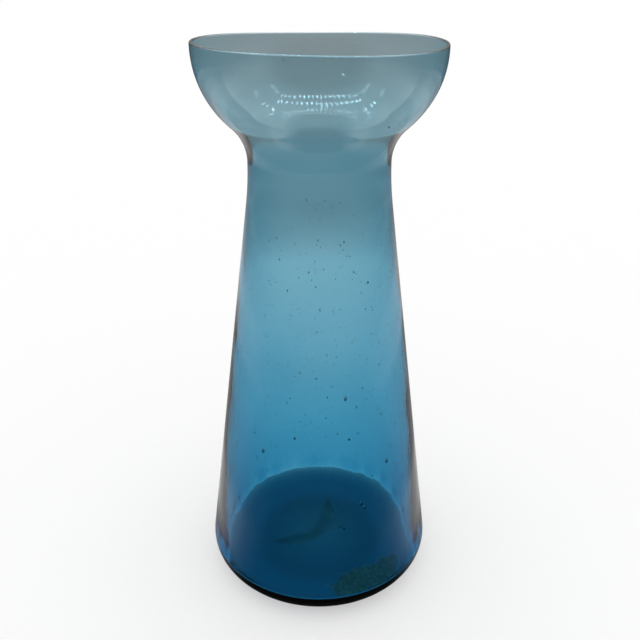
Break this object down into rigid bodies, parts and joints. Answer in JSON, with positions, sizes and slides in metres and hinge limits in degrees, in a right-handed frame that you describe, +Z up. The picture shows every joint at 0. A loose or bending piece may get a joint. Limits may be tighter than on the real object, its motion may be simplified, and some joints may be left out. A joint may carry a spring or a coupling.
{
  "type": "hyacinth forcing vase",
  "caption": "Tall tapered blue glass vase with an open bulb cup on a narrow throat, for growing a hyacinth bulb over water.",
  "frame": {"origin": "on the vase's axis, in the plane that the base rests on", "axes": "+Z up along the vase's axis, through the throat and out of the cup; -Y towards the viewer of the reference view; the glass is round, so X and Y matter only to the residue films"},
  "size_m": [0.09, 0.09, 0.21],
  "materials": {
    "blue_glass": "clear cobalt-turquoise blown glass, smooth and fire-polished, with fine seeds, pale where thin and navy where thick",
    "tan_residue": "matt olive-tan dried film, thin and slightly see-through",
    "green_residue": "matt dark green dried film, thin and see-through at its edges"
  },
  "bodies": {
    "root": {"glass_vessel": "blue_glass", "tan_residue_film": "tan_residue", "green_residue_film": "green_residue"}
  },
  "joints": []
}
